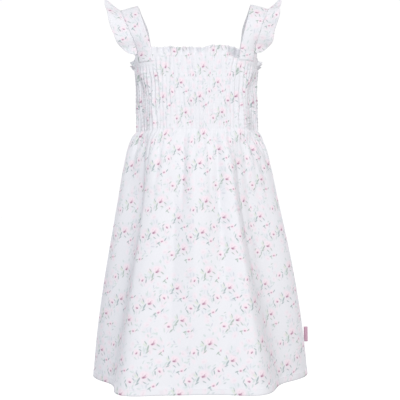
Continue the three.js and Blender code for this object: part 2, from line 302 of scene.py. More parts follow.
def pressed(angle):
    # 1 where a strap holds the cloth flat
    fromMiddle = np.degrees(np.arcsin(np.abs(np.sin(angle))))
    inner = smooth(fromMiddle, strapOver["from"] - strapOver["margin"], strapOver["from"])
    return inner * (1 - smooth(fromMiddle, strapOver["to"], strapOver["to"] + strapOver["margin"]))


def rowAngles(back, down, shares):
    # equal lengths round the ring, as the cloth's yarns run
    start = math.pi / 2 if back else -math.pi / 2
    angles = start + np.linspace(0, math.pi, 721)
    z = clothHeight(angles, down)
    points = polar(angles, ringRadius(angles, z, back), z)
    lengths = lengthsAlong(points)
    return np.interp(shares * lengths[-1], lengths, angles)


def gatherRise(back, down, shares, angle, radius):
    below = down - panel["frill"]
    belowWaist = below - shirredLength
    seed = 7 if back else 3
    pitch = shirredLength / (panel["elasticRows"] - 1)
    count = gathers["count"]
    if below < 0:
        turn = 2 * np.pi * (frillWave["count"] * shares + 0.3 * wander(shares * 11, 0.4, seed))
        uneven = 1 + 0.5 * wander(shares * 17, 0.7, seed + 1)
        return frillWave["rise"] * uneven * np.cos(turn) * (-below / panel["frill"]) * (1 - pressed(angle))
    row = below / pitch
    held = smooth(np.abs(np.sin(np.pi * min(row, panel["elasticRows"] - 1))), 0, 1)
    shift = gathers["shift"] * wander(shares * count / 3, row / 8, seed + 2)
    shift = shift + 0.5 * wander(shares * count / 1.2, row / 3, seed + 3)
    ridge = (0.5 + 0.5 * np.cos(2 * np.pi * (count * shares) + 2 * shift)) ** 0.8
    uneven = 1 + gathers["uneven"] * wander(shares * count / 1.6, row / 5, seed + 4)
    aside = smooth(np.abs(np.sin(angle)), 0.5, 0.8)
    uneven = uneven * between(gathers["front"], gathers["side"], aside)
    ridge = ridge - gathers["sideDip"] * aside
    tall = between(gathers["riseAtRow"], gathers["rise"], held) * uneven
    if belowWaist <= 0:
        return ridge * tall
    started = between(gathers["riseAtRow"], gathers["rise"], smooth(belowWaist, 0, 6))
    small = ridge * started * uneven * np.exp(-belowWaist / gathers["fade"])
    turn = np.pi * pleats["count"] * shares
    drift = pleats["drift"] * wander(shares * 8, 0.5 + belowWaist / 400, seed + 5)
    own = 1 + pleats["uneven"] * wander(shares * pleats["count"] * 0.8, 2.5, seed + 6)
    fade = pleats["fade"] * (1 + 0.5 * wander(shares * 9, 4.5, seed + 7))
    swell = np.exp(-belowWaist / fade) * (1 - np.exp(-belowWaist / pleats["start"]))
    soft = softFolds["rise"] * wander(shares * softFolds["count"], belowWaist / softFolds["height"], seed + 8)
    soft = soft * smooth(belowWaist, softFolds["from"], softFolds["full"])
    tube = np.abs(np.cos(turn + drift)) ** pleats["round"] - pleatSink
    return small + pleats["rise"] * own * swell * tube + soft + creaseRise(angle, radius, belowWaist)


def panelRow(back, down, shares, lift=0):
    # one row of a panel's points, lifted off the cloth where sewing lies on it
    angle = rowAngles(back, down, shares)
    z = clothHeight(angle, down)
    plain = ringRadius(angle, np.minimum(z, topRowHeight(angle)), back)
    side = smooth(np.abs(np.sin(angle)), body["sideStart"], 1)
    lean = between(frillWave["lean"], frillWave["sideLean"], side)
    aboveTop = max(panel["frill"] - down, 0)
    flare = aboveTop * lean * (1 - pressed(angle))
    under = pressed(angle) * smooth(z, strapOver["foot"] - strapOver["footRound"], strapOver["foot"])
    rise = gatherRise(back, down, shares, angle, plain) * (1 - strapOver["held"] * under)
    rise = rise + strapOver["lift"] * under
    belowHemTop = down - (panel["frill"] + shirredLength + skirtLength - panel["hemDepth"])
    if belowHemTop > 0:
        rise = rise + panel["hemTurn"] * smooth(belowHemTop, 0, 1)
    toSeam = np.minimum(shares, 1 - shares) * panel["cutWidth"]
    rise = rise - panel["seamTuck"] * (1 - smooth(toSeam, 0, panel["seamReach"]))
    wavy = wander(shares * frillWave["edgeWaves"], 0.3, 9)
    wavy = wavy + 0.5 * wander(shares * frillWave["smallWaves"], 0.6, 5)
    edge = frillWave["edge"] * wavy * aboveTop / panel["frill"]
    points = polar(angle, plain + flare + rise + lift, z - flare * lean + edge)
    tucked = smooth(panel["frill"] - down, frillTuck["from"], frillTuck["to"])
    tucked = tucked * smooth(np.degrees(angle), frillTuck["start"], frillTuck["deepest"])
    tucked = tucked * (1 - smooth(np.degrees(angle), frillTuck["last"], frillTuck["ended"]))
    points[:, 1] += frillTuck["depth"] * tucked
    return points


def panelDowns():
    frillPart = np.linspace(0, panel["frill"], panel["frillRows"], endpoint=False)
    shirredSteps = (panel["elasticRows"] - 1) * panel["rowsBetween"]
    shirredPart = panel["frill"] + np.linspace(0, shirredLength, shirredSteps, endpoint=False)
    waistDown = panel["frill"] + shirredLength
    spaced = np.linspace(0, 1, panel["skirtRows"])
    hemTop = skirtLength - panel["hemDepth"]
    skirtPart = hemTop * (0.45 * spaced + 0.55 * spaced**1.6)
    hemPart = hemTop + np.array([0.5, 1.2, 3.5, 6.5, panel["hemDepth"]])
    return np.concatenate([frillPart, shirredPart, waistDown + skirtPart, waistDown + hemPart])


def addPiece(name, bm, thickness=0):
    # an object from a finished mesh, which a thickness above 0 makes into a wall
    mesh = bpy.data.meshes.new(name)
    bm.to_mesh(mesh)
    bm.free()
    piece = bpy.data.objects.new(name, mesh)
    bpy.context.scene.collection.objects.link(piece)
    if thickness:
        wall = piece.modifiers.new("wall", "SOLIDIFY")
        wall.thickness = thickness * mm
        wall.offset = -1
    return piece


def clothPiece(name, points, cut, centre, thickness):
    # a sheet on a grid of rows and columns, faced away from the centre and given its thickness
    rows, columns = points.shape[0] - 1, points.shape[1] - 1
    bm = bmesh.new()
    bmesh.ops.create_grid(bm, x_segments=columns, y_segments=rows, size=0.5)
    uvLayer = bm.loops.layers.uv.new("cut")
    places = {}
    for vert in bm.verts:
        column = round((vert.co.x + 0.5) * columns)
        row = round((0.5 - vert.co.y) * rows)
        places[vert.index] = (row, column)
        vert.co = points[row, column] * mm
    for face in bm.faces:
        for loop in face.loops:
            loop[uvLayer].uv = cut[places[loop.vert.index]] * mm
        face.smooth = True
    bm.normal_update()
    middle = Vector(centre) * mm
    if sum(face.normal.dot(face.calc_center_median() - middle) for face in bm.faces) < 0:
        bmesh.ops.reverse_faces(bm, faces=bm.faces)
    return addPiece(name, bm, thickness)


def makePanel(name, back, cutStart):
    shares = np.linspace(0, 1, panel["columns"] + 1)
    downs = panelDowns()
    points = np.array([panelRow(back, down, shares) for down in downs])
    flare = smooth(downs, panel["flareFrom"], downs[-1] + panel["flareBeyond"]) / panel["flareShare"]
    widths = between(panel["topCutWidth"], panel["cutWidth"], flare)
    cut = np.stack([(shares[None, :] - 0.5) * widths[:, None], -downs[:, None] + 0 * shares], axis=-1)
    cut = cut + np.array(cutStart)
    return clothPiece(name, points, cut, (0, 0, -300), panel["thickness"])


pieces = {}
pieces["frontPanel"] = makePanel("frontPanel", False, (243, 0))
pieces["backPanel"] = makePanel("backPanel", True, (552, 170))
print("panels made")


# the straps, which are sewn on the bodice in front and behind and cross the shoulders
strap = {
    "innerSpring": 61.5,
    "innerTop": 82,
    "outerSpring": 82,
    "outerTop": 108,
    "spring": -66,
    "end": -87,
    "tailLean": 0.12,
    "outerDrop": 6.5,
    "topLift": 1.8,
    "outerFoot": 0.86,
    "backBow": 3.2,
    "bowAt": 0.68,
    "bowReach": 0.22,
    "thickness": 0.9,
    "crown": 0.35,
    "crumple": 0.25,
    "clearance": 0.5,
    "tail": 0.125,
    "archBow": 0.92,
    "alongSteps": 84,
    "acrossSteps": 12,
    "cutWidth": 27,
    "cutLength": 232,
}
sides = {
    "Left": {"sign": 1, "leanIn": 3, "forward": -0.55, "backward": 0.6, "lift": 0.85},
    "Right": {"sign": -1, "leanIn": -0.5, "forward": -0.05, "backward": 0.1, "lift": 0.75},
}


def besideRing(x, z, back):
    # the point of the cloth's ring with that x, held clear of the gathers
    x, z = np.broadcast_arrays(np.asarray(x, float), np.asarray(z, float))
    low, high = np.zeros(x.shape), np.full(x.shape, math.pi / 2)

    def at(fromMiddle):
        angle = math.pi - fromMiddle if back else fromMiddle
        return polar(angle, ringRadius(angle, z, back) + strap["clearance"], z)

    for _ in range(32):
        middle = (low + high) / 2
        under = at(middle)[..., 0] < x
        low, high = np.where(under, middle, low), np.where(under, high, middle)
    return at(low)


def strapPoints(side, along, across):
    # the underside of a strap, from its front end (0) over the shoulder to its back end (1)
    along, across = np.broadcast_arrays(np.asarray(along, float), np.asarray(across, float))
    springX = between(strap["innerSpring"], strap["outerSpring"], across)
    topX = between(strap["innerTop"], strap["outerTop"], across) - side["leanIn"]
    fromEnd = np.minimum(along, 1 - along)
    tailZ = between(strap["end"], strap["spring"], fromEnd / strap["tail"])
    tailX = springX + (tailZ - strap["spring"]) * strap["tailLean"]
    turn = math.pi / 2 * np.clip((fromEnd - strap["tail"]) / (0.5 - strap["tail"]), 0, 1)
    rise = np.sin(turn) ** strap["archBow"]
    found = []
    for back in (False, True):
        foot = besideRing(springX, strap["spring"], back)[..., 1]
        innerFoot = besideRing(strap["innerSpring"], strap["spring"], back)[..., 1]
        foot = between(foot, innerFoot * between(1, strap["outerFoot"], across), smooth(rise, 0, 0.3))
        topZ = strap["topLift"] - strap["outerDrop"] * across
        bow = strap["backBow"] * np.exp(-(((rise - strap["bowAt"]) / strap["bowReach"]) ** 2)) * back
        archX = between(springX, topX, rise) - bow
        arch = np.stack([archX, foot * np.cos(turn), between(strap["spring"], topZ, rise)], axis=-1)
        tail = besideRing(tailX, tailZ, back)
        found.append(np.where((fromEnd < strap["tail"])[..., None], tail, arch))
    return np.where((along > 0.5)[..., None], found[1], found[0])


def unit(vectors):
    return vectors / np.linalg.norm(vectors, axis=-1, keepdims=True)


def strapDirections(side, along, across):
    # along the strap, across it towards the arm, and off its upper side
    alongStep, acrossStep = 0.004, 0.05
    ahead = strapPoints(side, np.clip(along + alongStep, 0, 1), across)
    behind = strapPoints(side, np.clip(along - alongStep, 0, 1), across)
    outer = strapPoints(side, along, np.clip(across + acrossStep, 0, 1))
    inner = strapPoints(side, along, np.clip(across - acrossStep, 0, 1))
    tangent, width = unit(ahead - behind), unit(outer - inner)
    return tangent, width, unit(np.cross(width, tangent))


def mirrored(points, side):
    return points * np.array([side["sign"], 1, 1])


def strapTop(side, along, across):
    # the upper side of a strap, a little fuller along its middle and flat where it is sewn on
    points = strapPoints(side, along, across)
    face = strapDirections(side, along, across)[2]
    crown = strap["crown"] * np.sqrt(np.clip(1 - (2 * across - 1) ** 2, 0, 1))
    crown = crown + strap["crumple"] * wander(along * 26, across * 2.2, 5)
    flat = smooth(np.minimum(along, 1 - along), 0, strap["tail"])
    raised = strap["thickness"] * between(0.15, 1, flat) + crown * flat
    return points + face * raised[..., None]


def makeStrap(name, side, cutStart):
    along = np.linspace(0, 1, strap["alongSteps"] + 1)[:, None]
    across = np.linspace(0, 1, strap["acrossSteps"] + 1)[None, :]
    points = strapTop(side, along, across)
    cutAcross = across * strap["cutWidth"] * side["sign"]
    cut = np.stack(np.broadcast_arrays(cutAcross, along * strap["cutLength"]), axis=-1)
    centre = (70 * side["sign"], 0, -66)
    return clothPiece(name, mirrored(points, side), cut + np.array(cutStart), centre, strap["thickness"])


# the flutter ruffles along the straps' outer edges
ruffle = {
    "width": 29,
    "frontWidth": 23.5,
    "backWidth": 20,
    "endWidth": 3,
    "endRound": 21,
    "backEndTaper": 68,
    "end": -75,
    "waves": 5,
    "wave": 2.6,
    "gap": -0.4,
    "alongSteps": 260,
    "acrossSteps": 20,
    "thickness": 0.5,
    "cutLength": 234,
    "cutShare": 0.76,
    "pleats": 44,
    "pleatRise": 0.3,
    "pleatDrift": 2.2,
    "seed": 11,
}


def ruffleAlongs(side):
    tries = np.linspace(0, 1, 801)
    above = strapPoints(side, tries, 1.0)[:, 2] > ruffle["end"]
    kept = tries[above]
    return np.linspace(kept[0], kept[-1], ruffle["alongSteps"] + 1)


def rufflePoints(side, seed):
    along = ruffleAlongs(side)
    edge = strapPoints(side, along, 1.0)
    tangent, width, face = strapDirections(side, along, np.ones(along.shape))
    lengths = lengthsAlong(edge)
    total = lengths[-1]
    fromEnd = np.minimum(lengths, total - lengths)
    foot = abs(besideRing(strap["outerSpring"], strap["spring"], False)[1])
    behind = smooth(edge[:, 1] / foot, 0, 0.7)
    rounded = np.sqrt(1 - (1 - np.clip(fromEnd / ruffle["endRound"], 0, 1)) ** 2)
    rounded = np.where(edge[:, 1] > 0, smooth(fromEnd, -4, ruffle["backEndTaper"]), rounded)
    ahead = smooth(-edge[:, 1] / foot, 0.15, 0.6)
    full = between(between(ruffle["width"], ruffle["backWidth"], behind), ruffle["frontWidth"], ahead)
    reach = between(ruffle["endWidth"], full, rounded)
    top = np.cos(np.clip(np.abs(edge[:, 1] / foot), 0, 1) * math.pi / 2)
    away = np.sign(edge[:, 1]) * side["forward"] * (1 - top) + side["backward"] * top
    out = unit(np.stack([np.ones(along.shape), away, side["lift"] * top], axis=-1))
    over = unit(np.cross(out, tangent))
    part = lengths / total
    turn = 2 * np.pi * (ruffle["waves"] * (part - 0.5) + 0.12 * wander(part * 6, 0.5, seed))
    wave = ruffle["wave"] * rounded * (1 + 0.3 * wander(part * 8, 0.5, seed + 1)) * np.cos(turn)
    root = edge + width * ruffle["gap"] + face * strap["thickness"]
    share = np.linspace(0, 1, ruffle["acrossSteps"] + 1)[None, :, None]
    drift = ruffle["pleatDrift"] * wander(part * 20, 0.5, seed + 2)
    small = ruffle["pleatRise"] * np.sin(2 * np.pi * ruffle["pleats"] * part + drift)
    fading = np.exp(-share * 4) * smooth(share, 0, 0.1)
    points = root[:, None, :] + out[:, None, :] * reach[:, None, None] * share
    points = points + over[:, None, :] * (wave[:, None, None] * share**1.3 + small[:, None, None] * fading)
    cutAlong = (part * ruffle["cutLength"])[:, None]
    cut = np.stack(np.broadcast_arrays(share[..., 0] * reach[:, None], cutAlong), axis=-1)
    return points, cut


def makeRuffle(name, side, cutStart, seed):
    points, cut = rufflePoints(side, seed)
    cut = cut * np.array([side["sign"], 1])
    centre = (100 * side["sign"], 0, -66)
    return clothPiece(name, mirrored(points, side), cut + np.array(cutStart), centre, ruffle["thickness"])


for index, (word, side) in enumerate(sides.items()):
    strapStart = (51 + 70 * index, 20 + 31 * index)
    ruffleStart = (95 + 25 * index, 55 + 23 * index)
    pieces["strap" + word] = makeStrap("strap" + word, side, strapStart)
    pieces["ruffle" + word] = makeRuffle("ruffle" + word, side, ruffleStart, ruffle["seed"] + index)
print("straps and ruffles made")


# a plain loop of ribbon caught in the side seam
tag = {"thickness": 0.45, "steps": 14, "rows": 10, "inSeam": 0.6, "blunt": 0.45, "full": 1.05}


def makeTag():
    low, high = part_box("side_tag")
    half = (high.y - low.y) / 2
    start = low.x - tag["inSeam"] * mm
    reach = high.x - low.x + tag["inSeam"] * mm
    bm = bmesh.new()
    bmesh.ops.create_grid(bm, x_segments=tag["steps"], y_segments=tag["rows"], size=0.5)
    uvLayer = bm.loops.layers.uv.new("cut")
    for vert in bm.verts:
        share = vert.co.x + 0.5
        turn = math.pi * (share - 0.5)
        depth = max(math.cos(turn), 0) ** tag["blunt"]
        height = between(low.z, high.z, vert.co.y + 0.5)
        vert.co = (start + reach * depth, half * math.sin(turn) * tag["full"], height)
    for face in bm.faces:
        face.smooth = True
        for loop in face.loops:
            loop[uvLayer].uv = (loop.vert.co.x, loop.vert.co.z)
    bm.normal_update()
    bmesh.ops.recalc_face_normals(bm, faces=bm.faces)
    return addPiece("ribbonTag", bm, tag["thickness"])


pieces["ribbonTag"] = makeTag()
print("tag made")


# the sewing: a thread that runs over the cloth in short stitches and dips into it between them
stitch = {"radius": 0.19, "pitch": 2.7, "sides": 5, "edge": 0.09, "aboveHem": 1.4, "belowEdge": 2.2}
# within one stitch: the share of its pitch, and the height over the cloth in mm
stitchRows = [(0, -0.55), (0.15, 0.06), (0.5, 0.16), (0.85, 0.06)]


def threadPoints(line, outward):
    # rings of points round a thread that follows a line on the cloth
    lengths = lengthsAlong(line)
    count = int(lengths[-1] / stitch["pitch"])
    shares = np.concatenate([[number + row[0] for row in stitchRows] for number in range(count)] + [[count]])
    heights = np.concatenate([[row[1] for row in stitchRows]] * count + [[stitchRows[0][1]]])
    wanted = shares / count * lengths[-1]
    middle = np.stack([np.interp(wanted, lengths, line[:, axis]) for axis in range(3)], axis=-1)
    up = unit(np.stack([np.interp(wanted, lengths, outward[:, axis]) for axis in range(3)], axis=-1))
    middle = middle + up * heights[:, None]
    beside = unit(np.cross(np.gradient(middle, axis=0), up))
    turns = np.linspace(0, 2 * np.pi, stitch["sides"] + 1)[:, None, None]
    return middle + stitch["radius"] * (np.cos(turns) * beside + np.sin(turns) * up)


def makeSewing(name, lines):
    bm = bmesh.new()
    for line, outward in lines:
        points = threadPoints(line, outward)
        around, along = points.shape[0] - 1, points.shape[1] - 1
        made = bmesh.ops.create_grid(bm, x_segments=along, y_segments=around, size=0.5)
        for vert in made["verts"]:
            vert.co = points[round((vert.co.y + 0.5) * around), round((vert.co.x + 0.5) * along)] * mm
    bmesh.ops.remove_doubles(bm, verts=bm.verts, dist=1e-7)
    bmesh.ops.recalc_face_normals(bm, faces=bm.faces)
    for face in bm.faces:
        face.smooth = True
    return addPiece(name, bm)


def panelLines(back):
    # the rows of elastic, the frill's narrow edge and the hem
    shares = np.linspace(0.004, 0.996, 900)
    pitch = shirredLength / (panel["elasticRows"] - 1)
    downs = [panel["frill"] + pitch * row for row in range(panel["elasticRows"])]
    hemLine = panel["frill"] + shirredLength + skirtLength - panel["hemDepth"] + stitch["aboveHem"]
    lines = []
    for down in [stitch["belowEdge"]] + downs + [hemLine]:
        line = panelRow(back, down, shares)
        lines.append((line, panelRow(back, down, shares, 1) - line))
    return lines


def strapLines(side):
    # along both edges, and across each tail where it is sewn on
    along, across = np.linspace(0.01, 0.99, 500), np.linspace(stitch["edge"], 1 - stitch["edge"], 40)
    lines = [(along, np.full(along.shape, edge)) for edge in (stitch["edge"], 1 - stitch["edge"])]
    lines += [(np.full(across.shape, place), across) for place in (0.012, 0.088, 0.912, 0.988)]
    laid = []
    for line in lines:
        face = strapDirections(side, *line)[2]
        laid.append((mirrored(strapTop(side, *line), side), mirrored(face, side)))
    return laid


def ruffleLine(side, seed):
    points = rufflePoints(side, seed)[0][4:-4]
    line = points[:, ruffle["acrossSteps"] - 2]
    face = np.cross(np.gradient(line, axis=0), points[:, -1] - line)
    return mirrored(line, side), mirrored(-face, side)


pieces["frontSewing"] = makeSewing("frontSewing", panelLines(False))
pieces["backSewing"] = makeSewing("backSewing", panelLines(True))
for index, (word, side) in enumerate(sides.items()):
    lines = strapLines(side) + [ruffleLine(side, ruffle["seed"] + index)]
    pieces["sewing" + word] = makeSewing("sewing" + word, lines)
print("sewing made")


# materials
def addNode(tree, kind, inputs=None, **settings):
    new = tree.nodes.new(kind)
    for key, value in settings.items():
        setattr(new, key, value)
    for key, value in (inputs or {}).items():
        if isinstance(value, bpy.types.NodeSocket):
            tree.links.new(value, new.inputs[key])
        else:
            new.inputs[key].default_value = value
    return new


def emptyMaterial(name, look):
    material = bpy.data.materials.new(name)
    material.use_nodes = True
    tree = material.node_tree
    tree.nodes.clear()
    inputs = {"Roughness": look["roughness"], "Sheen Weight": look["sheen"]}
    shader = addNode(tree, "ShaderNodeBsdfPrincipled", inputs)
    addNode(tree, "ShaderNodeOutputMaterial", {"Surface": shader.outputs[0]})
    return material, tree, shader


def tone(red, green, blue):
    # a colour picked on screen, from 0 to 255, as the light that it reflects
    shares = [value / 255 for value in (red, green, blue)]
    return tuple(c / 12.92 if c <= 0.04045 else ((c + 0.055) / 1.055) ** 2.4 for c in shares) + (1,)


def addMath(tree, operation, *values):
    node = addNode(tree, "ShaderNodeVectorMath", dict(enumerate(values)), operation=operation)
    return node.outputs["Value" if operation in ("LENGTH", "DOT_PRODUCT") else "Vector"]


def newGroup(name, takes, gives):
    tree = bpy.data.node_groups.new(name, "ShaderNodeTree")
    for side, sockets in (("INPUT", takes), ("OUTPUT", gives)):
        for socket, kind in sockets.items():
            tree.interface.new_socket(socket, in_out=side, socket_type="NodeSocket" + kind)
    return tree, addNode(tree, "NodeGroupInput").outputs, addNode(tree, "NodeGroupOutput").inputs


# the print: four kinds of small sprig, each on its own half-drop repeat of two by two places, and all
# charted one by one
cotton = {
    "ground": tone(226, 226.6, 231),
    "roughness": 0.82,
    "sheen": 0.12,
    "wobble": 0.9,
    "wobbleScale": 0.55,
    "yarns": [(2.4, 0.22, 1), (0.22, 2.4, 1)],
    "yarnDepth": 0.09,
    "yarnStrength": 0.35,
    "slub": 0.035,
    "showThrough": 0.4,
    "strokeFull": 0.7,
    "strokeEnd": 1.2,
}
paints = {
    "wash": tone(230, 222, 228),
    "mist": tone(216, 221, 226),
    "petal": tone(236, 222, 229),
    "petalDeep": tone(224, 205, 215),
    "heart": tone(184, 146, 166),
    "heartDark": tone(152, 114, 138),
    "ghostPink": tone(234, 224, 230),
    "ghostRose": tone(224, 211, 219),
    "ghostGreen": tone(204, 214, 213),
    "dust": tone(202, 204, 213),
    "lime": tone(206, 218, 196),
}

# each row: centre, half width and half length in mm, turn in degrees, paint and strength
strokeColumns = ("across", "up", "halfWidth", "halfLength", "turn", "paint", "strength")
roseStrokes = [
    (0, 0, 12, 10, 0, "mist", 0.35),
    (1, -1, 9, 8, 20, "wash", 0.6),
    (-4.6, 8.4, 1.4, 2.2, 30, "ghostGreen", 0.9),
    (5.4, 8.2, 1.3, 2.0, -20, "ghostGreen", 0.9),
    (9.4, 1.5, 1.0, 3.0, 20, "ghostGreen", 0.9),
    (-9, -0.6, 1.5, 3.6, 52, "lime", 0.5),
    (-10, -5.6, 1.3, 3.2, -40, "ghostGreen", 0.9),
    (-6.4, -4.6, 1.2, 4.0, -28, "leaf", 0.9),
    (-7.4, -8.4, 0.9, 3.0, -58, "leaf", 0.8),
    (-8.2, 1.6, 0.8, 3.0, 28, "leaf", 0.8),
    (-1.2, 1.4, 4.8, 4.2, -20, "petal", 0.9),
    (1.8, 0.6, 4.4, 3.8, 30, "petal", 0.9),
    (0, -1.4, 3.9, 2.3, 6, "petalDeep", 0.9),
    (2.2, 1.6, 1.4, 1.1, -30, "petalDeep", 0.7),
    (-2, 1.6, 1.1, 1.5, -30, "petalDeep", 0.5),
    (-0.4, -1.6, 2.6, 1.3, 8, "heart", 0.9),
    (0.9, 0.2, 0.8, 1.2, -20, "heart", 0.7),
    (-1.0, -1.9, 1.3, 0.7, 12, "heartDark", 0.9),
    (11.2, -10.6, 3.8, 3.3, 6, "petal", 0.95),
    (10.8, -11.2, 2.4, 1.5, 16, "petalDeep", 0.9),
    (10.7, -11.4, 1.6, 1.0, 14, "heart", 0.85),
    (15, -9.2, 0.9, 2.8, -38, "leaf", 0.85),
    (5.4, -4.2, 0.9, 3.0, 44, "leaf", 0.7),
    (0.8, -7.2, 0.8, 2.8, 64, "leaf", 0.7),
    (7.4, -14.6, 0.8, 2.6, 40, "leaf", 0.7),
    (6.4, -13, 0.9, 2.8, -62, "leaf", 0.85),
]
budStrokes = [
    (1, 0, 7, 6, 0, "wash", 0.5),
    (-0.2, -4, 0.35, 3.0, 8, "dust", 0.7),
    (-3.4, -2.0, 0.9, 2.8, 26, "leaf", 0.85),
    (3.4, -4.0, 0.9, 2.6, -30, "ghostGreen", 0.9),
    (0.6, 1.8, 3.6, 3.2, -14, "petal", 1),
    (-4.4, 1.8, 0.8, 2.4, -30, "leaf", 0.7),
    (4.6, 2.4, 0.8, 2.2, 36, "leaf", 0.6),
    (0.7, 0.7, 2.4, 1.5, -16, "petalDeep", 0.9),
    (0.7, 0.4, 1.6, 1.0, -20, "heart", 0.9),
    (1.1, 0.1, 0.8, 0.5, -20, "heartDark", 0.75),
    (6, 6.6, 2.8, 2.4, 0, "ghostRose", 0.35),
    (-5.0, 5, 0.9, 2.2, -40, "ghostGreen", 0.8),
]
twigStrokes = [
    (0, 0, 0.5, 5.0, 15, "ghostGreen", 0.8),
    (-2.8, 2.2, 1.2, 2.8, 50, "ghostGreen", 0.9),
    (2.8, 0.4, 1.1, 2.7, -42, "dust", 0.8),
    (-2, -3.8, 1.1, 2.4, 28, "leaf", 0.45),
    (-1.4, 7.2, 4.6, 3.8, 0, "ghostPink", 0.6),
    (-0.2, 6.5, 2.2, 1.3, 20, "ghostRose", 0.4),
    (4.8, -6.4, 4.8, 3.4, 30, "ghostPink", 0.6),
    (5.5, 4.5, 0.9, 2.0, 20, "mist", 1),
]
ghostStrokes = [
    (0, -1, 8, 9, 10, "mist", 0.45),
    (-0.5, 0, 0.4, 6.5, 12, "dust", 0.6),
    (-3.4, 6.2, 5.2, 4.2, 20, "ghostPink", 0.75),
    (-4, 5.4, 2.6, 1.5, 20, "ghostRose", 0.5),
    (2.2, -6, 5.6, 4.2, -15, "ghostPink", 0.75),
    (2.8, -6.8, 2.4, 1.4, -25, "ghostRose", 0.6),
    (4.4, 1.4, 1.1, 3.2, -48, "ghostGreen", 0.85),
    (-4.4, -2, 1.1, 3.2, 42, "dust", 0.75),
    (-8.2, -7.4, 0.9, 2.8, -20, "ghostGreen", 0.85),
]

# each row: a sprig's shift in its place, turn, size, which way it faces, and its leaves
chartColumns = ("across", "up", "turn", "size", "faces", "leaf")
tealLeaf, greenLeaf, greyLeaf = tone(154, 171, 172), tone(164, 180, 171), tone(176, 188, 192)
sprigs = {
    "twig": {
        "strokes": twigStrokes,
        "shift": (7, 38),
        "place": (25, 29),
        "chart": [
            (2, -2, 20, 1.1, 1, greyLeaf),
            (-3, 3, -35, 1.0, -1, tealLeaf),
            (3, 4, 80, 1.05, 1, greyLeaf),
            (-2, -4, 140, 0.95, -1, greenLeaf),
        ],
    },
    "ghost": {
        "strokes": ghostStrokes,
        "shift": (0, 26),
        "place": (30, 35),
        "chart": [
            (-3, 4, -12, 1.0, 1, greyLeaf),
            (5, -3, 38, 1.05, -1, greyLeaf),
            (-5, -6, 150, 0.95, 1, greyLeaf),
            (4, 5, -50, 1.1, -1, greyLeaf),
        ],
    },
    "bud": {
        "strokes": budStrokes,
        "shift": (19.5, 11.5),
        "place": (39, 46),
        "chart": [
            (-4, 5, 10, 1.3, 1, tealLeaf),
            (5, 4, -22, 1.36, -1, greenLeaf),
            (3, -5, 24, 1.2, -1, tealLeaf),
            (-5, -5, -16, 1.25, 1, tealLeaf),
        ],
    },
    "rose": {
        "strokes": roseStrokes,
        "shift": (0, 0),
        "place": (39, 46),
        "chart": [
            (-4, 2, 0, 1.18, 1, tealLeaf),
            (5, 3, -14, 1.1, 1, greenLeaf),
            (4, -3, 12, 1.2, 1, greenLeaf),
            (-4, -2, -8, 1.08, 1, tealLeaf),
        ],
    },
}


def placeGroup():
    # from a point of the cloth, which place of the repeat it is in and where it lies there
    wants = {"Cloth": "Vector", "Shift": "Vector", "Size": "Vector"}
    tree, takes, gives = newGroup("repeatPlace", wants, {"Local": "Vector", "Pick": "Float"})
    size = takes["Size"]
    moved = addMath(tree, "ADD", takes["Cloth"], takes["Shift"])
    counted = addMath(tree, "DIVIDE", moved, size)
    column = addMath(tree, "FLOOR", counted)
    drop = addMath(tree, "FRACTION", addMath(tree, "MULTIPLY", column, (0.5, 0.5, 0)))
    drop = addNode(tree, "ShaderNodeSeparateXYZ", {0: drop}).outputs["X"]
    drop = addNode(tree, "ShaderNodeCombineXYZ", {"Y": drop}).outputs[0]
    dropped = addMath(tree, "ADD", counted, drop)
    place = addMath(tree, "FLOOR", dropped)
    odd = addMath(tree, "FRACTION", addMath(tree, "MULTIPLY", place, (0.5, 0.5, 0)))
    pick = addMath(tree, "DOT_PRODUCT", odd, (0.5, 1, 0))
    # an eighth more, so that the choice falls in the middle of one of the ramp's four steps
    pick = addNode(tree, "ShaderNodeMath", {0: pick, 1: 0.125}, operation="ADD").outputs[0]
    tree.links.new(pick, gives["Pick"])
    local = addMath(tree, "SUBTRACT", addMath(tree, "FRACTION", dropped), (0.5, 0.5, 0.5))
    tree.links.new(addMath(tree, "MULTIPLY", local, size), gives["Local"])
    return tree


def chartRamp(tree, pick, colours, change="CONSTANT"):
    # the colours one after another, in equal steps or fading into each other
    node = addNode(tree, "ShaderNodeValToRGB", {0: pick})
    ramp = node.color_ramp
    ramp.interpolation = change
    steps = len(colours) if change == "CONSTANT" else len(colours) - 1
    ramp.elements[1].position = 1
    for index in range(2, len(colours)):
        ramp.elements.new(0.99)
    for index, colour in enumerate(colours):
        ramp.elements[index].position = index / steps
        ramp.elements[index].color = tuple(colour[:3]) + (1,)
    return node.outputs[0]


